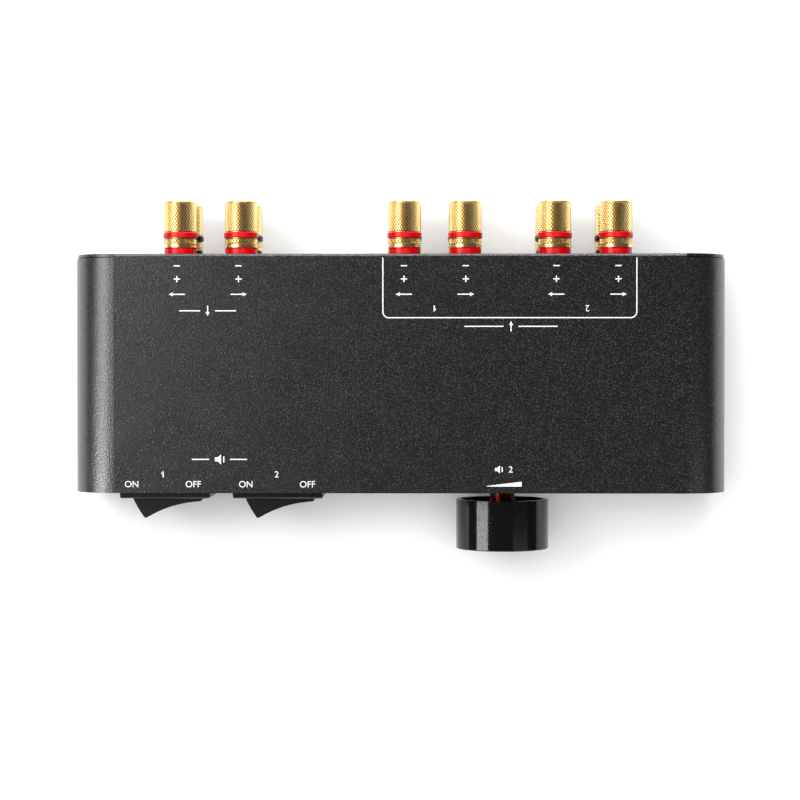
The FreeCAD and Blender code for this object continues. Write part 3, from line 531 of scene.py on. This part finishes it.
def screw_caps(gold):
    """Every screw cap, each turned its own way as hands have left them."""
    pattern = screw_cap()
    turns = random.Random(cap_turn_seed)
    for node in sorted(frame["nodes"]):
        if node.startswith("cap_"):
            low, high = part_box(node)
            middle = (low + high) / 2
            turn = turns.uniform(0, 2 * math.pi)
            spun = doubled(pattern, node.replace("cap_", "knurled_cap_"), turn=(0, 0, turn))
            spun.location = (middle.x, low.y, middle.z)
            spun.rotation_euler = (-math.pi / 2, 0, 0)
            settle(spun)
            fixed(spun, node, gold)
            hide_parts(node)
    bpy.data.objects.remove(pattern)


def middle_x(node):
    """The middle of a frame node, from left to right."""
    low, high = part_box(node)
    return (low.x + high.x) / 2


def plate(name, x, y, width, depth):
    """A small printed rectangle, standing just proud of the top."""
    size = (width, depth, mark_depth)
    return added(bpy.ops.mesh.primitive_cube_add, name, size=1, scale=size,
                 location=(x, y, mark_top - mark_depth / 2))


def push_sides(piece, wanted, distance):
    """Extrude the side faces of a printed shape that pass a test, each along its own normal."""
    with editing(piece):
        pick(piece, "FACE", wanted)
        bpy.ops.mesh.extrude_faces_move(TRANSFORM_OT_shrink_fatten={"value": distance})


def plus_sign(x, y):
    """A plus: a small square pushed out on all four sides."""
    plus = plate("plus", x, y, sign_width, sign_width)
    push_sides(plus, lambda face: abs(face.normal.z) < 0.5, (sign_span - sign_width) / 2)
    return plus


def arrow(x, y, length, heading):
    """A slim arrow, centred on a point, that points along an angle from +X, in degrees: the end of its
    shaft swells into two barbs and narrows to a tip."""
    shaft = plate("arrow", 0, 0, length - arrow_barb, line_width)
    shaft_end = (length - arrow_barb) / 2
    with editing(shaft):
        pick(shaft, "FACE", lambda face: face.normal.x > 0.5)
        bpy.ops.mesh.extrude_region_move(TRANSFORM_OT_translate={"value": (0, 0, 0)})
        bpy.ops.transform.resize(value=(1, arrow_barb / line_width, 1))
        bpy.ops.mesh.extrude_region_move(TRANSFORM_OT_translate={"value": (arrow_barb, 0, 0)})
        bpy.ops.transform.resize(value=(1, arrow_tip, 1))
        bpy.ops.mesh.select_all(action="SELECT")
        bpy.ops.transform.translate(value=(shaft_end - length / 2, 0, 0))
    shaft.rotation_euler = (0, 0, math.radians(heading))
    shaft.location = (x, y, 0)
    return settle(shaft)


def lettering(text, x, y, turned_round=False):
    """Printed characters, centred on a point."""
    bpy.ops.object.select_all(action="DESELECT")
    bpy.ops.object.text_add(location=(0, 0, 0))
    words = bpy.context.object
    words.data.body = text
    words.data.align_x = "CENTER"
    words.data.size = character_height / capital_share
    words.data.extrude = mark_depth / 2
    bpy.ops.object.convert(target="MESH")
    words = bpy.context.object
    turn = -1 if turned_round else 1
    words.rotation_euler = (0, 0, math.pi if turned_round else 0)
    words.location = (x, y - turn * character_height / 2, mark_top - mark_depth / 2)
    return settle(words)


def numeral(number, x, y, turned_round=False):
    """A printed 1 or 2: the built-in font's 1 is a bare bar, so this one has its flag."""
    if number != 1:
        return lettering(str(number), x, y, turned_round)
    flag = numeral_flag * character_height
    stem_x = numeral_stem_shift * character_height
    stem = plate("stem", stem_x, 0, line_width, character_height)
    stroke = plate("flag", -flag / 2, 0, flag, line_width)
    stroke.rotation_euler = (0, 0, math.radians(numeral_flag_angle))
    stroke.location = (stem_x, character_height / 2 - line_width, 0)
    one = joined([stem, settle(stroke)], "one")
    one.rotation_euler = (0, 0, math.pi if turned_round else 0)
    one.location = (x, y, 0)
    return settle(one)


def speaker_mark(x, y, size):
    """A plain loudspeaker sign: a small box that flares into a horn, and one wave in front of it."""
    box_shift = size * 0.3
    box_width = size * 0.3
    box_depth = size * 0.4
    horn_length = size * 0.3
    horn_flare = 2.5
    wave_shift = size * 0.42
    wave_depth = size * 0.6
    mark = plate("loudspeaker", x - box_shift, y, box_width, box_depth)
    with editing(mark):
        pick(mark, "FACE", lambda face: face.normal.x > 0.5)
        bpy.ops.mesh.extrude_region_move(TRANSFORM_OT_translate={"value": (horn_length, 0, 0)})
        bpy.ops.transform.resize(value=(1, horn_flare, 1))
    wave = plate("wave", x + wave_shift, y, line_width, wave_depth)
    return joined([mark, wave], "loudspeaker")


def volume_wedge(x, y, length, height):
    """A wedge that grows to the right, as volume does."""
    wedge = plate("volume_wedge", x, y, length, height)
    with editing(wedge):
        pick(wedge, "VERT", lambda vertex: vertex.co.x < x and vertex.co.y > y)
        bpy.ops.transform.translate(value=(0, line_width / 2 - height, 0))
    return wedge


def rules(x, y, span, gap):
    """Two thin rules in line, with room for a sign between them."""
    length = (span - gap) / 2
    reach = (span + gap) / 4
    return [plate("rule", x + side * reach, y, length, line_width) for side in (-1, 1)]


def bracket_line():
    """The line round the outputs, open to the rear, with two rounded corners."""
    left = min(output_columns) - bracket_margins[0]
    right = max(output_columns) + bracket_margins[1]
    front = rear_edge - bracket_front
    rear = rear_edge - bracket_end
    x = (left + right) / 2
    y = (front + rear) / 2
    line = plate("bracket_line", x, y, right - left, rear - front)

    def is_front_corner(edge):
        upright = abs((edge.verts[0].co - edge.verts[1].co).z) > mark_depth / 2
        return upright and edge.verts[0].co.y < y

    with editing(line):
        pick(line, "EDGE", is_front_corner)
        bpy.ops.mesh.bevel(offset=bracket_corner, segments=bracket_segments)
        pick(line, "FACE", lambda face: face.normal.z < 0.5)
        bpy.ops.mesh.delete(type="FACE")
        bpy.ops.mesh.select_all(action="SELECT")
        bpy.ops.mesh.inset(thickness=line_width)
        bpy.ops.mesh.delete(type="FACE")
        pick(line, "FACE", lambda face: face.calc_center_median().y > rear - line_width)
        bpy.ops.mesh.delete(type="FACE")
        bpy.ops.mesh.select_all(action="SELECT")
        bpy.ops.mesh.extrude_region_move(TRANSFORM_OT_translate={"value": (0, 0, -mark_depth)})
        bpy.ops.mesh.select_all(action="SELECT")
        bpy.ops.mesh.normals_make_consistent(inside=False)
    return line


def rear_marks():
    """Signs, arrows and numerals over the posts, for someone who stands behind the case."""
    marks = [bracket_line()]
    for place, column in enumerate(post_columns):
        marks.append(plate("minus", column, rear_edge - minus_row, sign_span, sign_width))
        marks.append(plus_sign(column, rear_edge - plus_row))
        marks.append(arrow(column, rear_edge - side_row, side_arrow, 180 if place % 2 == 0 else 0))
    input_x = sum(input_columns) / 2
    marks += rules(input_x, rear_edge - input_row, input_span, arrow_room)
    marks.append(arrow(input_x, rear_edge - input_row, heading_size, -90))
    output_x = sum(output_columns) / 4
    marks += rules(output_x, rear_edge - output_row, output_span, arrow_room)
    marks.append(arrow(output_x, rear_edge - output_row, heading_size, 90))
    for pair in (1, 2):
        pair_x = sum(output_columns[2 * pair - 2:2 * pair]) / 2
        marks.append(numeral(pair, pair_x, rear_edge - pair_row, turned_round=True))
    return marks


def front_marks():
    """Switch positions, numerals and signs over the rockers and the knob."""
    marks = []
    for number, switch_x in enumerate(switch_columns, start=1):
        marks.append(lettering("ON", switch_x - state_spread, front_edge + state_row))
        marks.append(lettering("OFF", switch_x + state_spread, front_edge + state_row))
        marks.append(numeral(number, switch_x, front_edge + switch_row))
    speakers_x = sum(switch_columns) / 2
    marks += rules(speakers_x, front_edge + speakers_row, speakers_span, speakers_room)
    marks.append(speaker_mark(speakers_x, front_edge + speakers_row, heading_size))
    sign_y = front_edge + volume_heading_row
    marks.append(speaker_mark(knob_x - volume_sign_shift, sign_y, heading_size * volume_sign_scale))
    marks.append(numeral(2, knob_x + volume_numeral_shift, sign_y))
    marks.append(volume_wedge(knob_x, front_edge + volume_row, *wedge_size))
    return marks


def printed_marks(ink):
    """All the white marks on the top, as one thin layer of ink."""
    fixed(joined(rear_marks() + front_marks(), "printed_marks"), "case", ink)


def dress_nodes(coats):
    """Give every frame node the finish of its material slot."""
    for part in frame["record"]["subparts"]:
        node = frame["nodes"][part["node"]]
        node.data.materials.clear()
        node.data.materials.append(coats[part["material_slot"]])


def table():
    """The pale table under the object."""
    top = added(bpy.ops.mesh.primitive_plane_add, "table", size=6.0)
    top.data.materials.append(table_white())


def soft_light(name, place, aim, width, depth, glow, seen_by="all"):
    """A rectangular soft box of a given radiance that faces a point; it lights, is mirrored, or both."""
    light = bpy.data.lights.new(name, "AREA")
    light.shape = "RECTANGLE"
    light.size = width
    light.size_y = depth
    light.energy = glow * math.pi * width * depth
    lamp = bpy.data.objects.new(name, light)
    bpy.context.scene.collection.objects.link(lamp)
    lamp.location = place
    lamp.rotation_euler = (Vector(aim) - Vector(place)).to_track_quat("-Z", "Y").to_euler()
    lamp.visible_camera = False
    lamp.visible_glossy = seen_by != "matt"
    lamp.visible_diffuse = seen_by != "gloss"


def studio():
    """A soft box high on the left, beside it a strip that only gloss mirrors, a weak box on the right, a
    matt fill from above, and low panels in front and behind that the knurls mirror."""
    soft_light("key", (-0.475, 0.18, 0.585), (-0.08, 0.0, 0.02), 0.44, 0.42, 5.2)
    soft_light("knob_strip", (-0.525, -0.21, 0.46), (0.035, -0.21, 0.04), 0.25, 0.37, 13.0,
               seen_by="gloss")
    soft_light("right_box", (0.40, -0.27, 0.40), (0.035, -0.27, 0.04), 0.34, 0.36, 1.1)
    soft_light("fill", (-0.05, 0.12, 0.85), (0.0, 0.05, 0.0), 0.9, 0.9, 4.0, seen_by="matt")
    soft_light("front_panel", (0.15, -0.72, 0.30), (0.05, -0.05, 0.0), 0.9, 0.40, 2.4)
    soft_light("rear_panel", (0.0, 0.65, 0.26), (0.0, 0.05, 0.03), 1.0, 0.40, 5.0)
    world = bpy.data.worlds.new("studio")
    world.use_nodes = True
    world.node_tree.nodes["Background"].inputs["Color"].default_value = (1, 1, 1, 1)
    world.node_tree.nodes["Background"].inputs["Strength"].default_value = 0.04
    bpy.context.scene.world = world
    bpy.context.scene.view_settings.view_transform = "Standard"


def camera():
    """Straight above the object, with the slight tilt of the photograph."""
    lens = bpy.data.cameras.new("camera")
    lens.lens = camera_lens
    lens.sensor_width = 36
    view = bpy.data.objects.new("camera", lens)
    bpy.context.scene.collection.objects.link(view)
    back = (Vector(camera_place) - Vector(camera_target)).normalized()
    right = Vector((0, 1, 0)).cross(back).normalized()
    up = back.cross(right)
    view.location = camera_place
    view.rotation_euler = Matrix((right, up, back)).transposed().to_euler()
    bpy.context.scene.camera = view


front_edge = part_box("cover_shell")[0].y
rear_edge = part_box("cover_shell")[1].y
mark_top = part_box("cover_shell")[1].z + mark_rise
input_columns = [middle_x("cap_in_right_red"), middle_x("cap_in_left_red")]
output_columns = [middle_x("cap_pair1_right_red"), middle_x("cap_pair1_left_red"),
                  middle_x("cap_pair2_right_red"), middle_x("cap_pair2_left_red")]
post_columns = input_columns + output_columns
switch_columns = [middle_x("switch_1_rocker"), middle_x("switch_2_rocker")]
knob_x = middle_x("volume_knob")

coats = finishes()
dress_nodes(coats)
screw_caps(coats["gold_plate"])
printed_marks(white_ink())
table()
studio()
camera()
